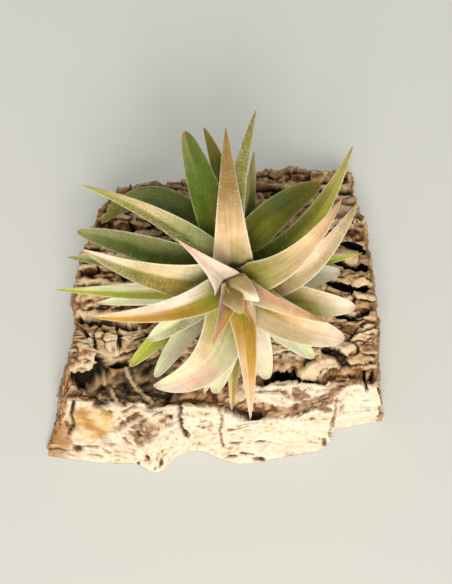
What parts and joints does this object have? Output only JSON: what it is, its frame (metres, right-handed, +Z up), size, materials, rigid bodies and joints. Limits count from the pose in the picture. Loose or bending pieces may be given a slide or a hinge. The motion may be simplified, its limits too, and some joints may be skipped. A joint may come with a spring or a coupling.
{
  "type": "air plant on cork bark",
  "caption": "Stemmed air plant with stiff silvery leaves, peach and pink at its heart and green below, rooted in a flat-based slab of cork bark.",
  "frame": {"origin": "middle of the cork bark's flat underside", "axes": "+Z up, +X to the right along the bark's grain, -Y towards the front, where the plant leans"},
  "size_m": [0.0917, 0.0876, 0.0751],
  "materials": {
    "cork_bark": "rough, matt",
    "stem": "dry, matt",
    "heart_leaf": "satin, silver-scaled",
    "inner_leaf": "satin, silver-scaled",
    "upper_leaf": "satin, silver-scaled",
    "middle_leaf": "satin, silver-scaled",
    "outer_leaf": "matt, silver-scaled",
    "dry_leaf": "dry, matt"
  },
  "bodies": {
    "root": {"cork_bark": "cork_bark", "stem": "stem", "heart_leaf_1": "heart_leaf", "heart_leaf_2": "heart_leaf", "heart_leaf_3": "heart_leaf", "heart_leaf_4": "heart_leaf", "heart_leaf_5": "heart_leaf", "inner_leaf_1": "inner_leaf", "inner_leaf_2": "inner_leaf", "inner_leaf_3": "inner_leaf", "inner_leaf_4": "inner_leaf", "inner_leaf_5": "inner_leaf", "inner_leaf_6": "inner_leaf", "inner_leaf_7": "inner_leaf", "upper_leaf_1": "upper_leaf", "upper_leaf_2": "upper_leaf", "upper_leaf_3": "upper_leaf", "upper_leaf_4": "upper_leaf", "upper_leaf_5": "upper_leaf", "upper_leaf_6": "upper_leaf", "upper_leaf_7": "upper_leaf", "middle_leaf_1": "middle_leaf", "middle_leaf_2": "middle_leaf", "middle_leaf_3": "middle_leaf", "middle_leaf_4": "middle_leaf", "middle_leaf_5": "middle_leaf", "middle_leaf_6": "middle_leaf", "middle_leaf_7": "middle_leaf", "middle_leaf_8": "middle_leaf", "middle_leaf_9": "middle_leaf", "middle_leaf_10": "middle_leaf", "middle_leaf_11": "middle_leaf", "middle_leaf_12": "middle_leaf", "outer_leaf_1": "outer_leaf", "outer_leaf_2": "outer_leaf", "outer_leaf_3": "outer_leaf", "outer_leaf_4": "outer_leaf", "outer_leaf_5": "outer_leaf", "outer_leaf_6": "outer_leaf", "outer_leaf_7": "outer_leaf", "outer_leaf_8": "outer_leaf", "dry_leaf_1": "dry_leaf", "dry_leaf_2": "dry_leaf", "dry_leaf_3": "dry_leaf", "dry_leaf_4": "dry_leaf", "dry_leaf_5": "dry_leaf", "dry_leaf_6": "dry_leaf"}
  },
  "joints": []
}
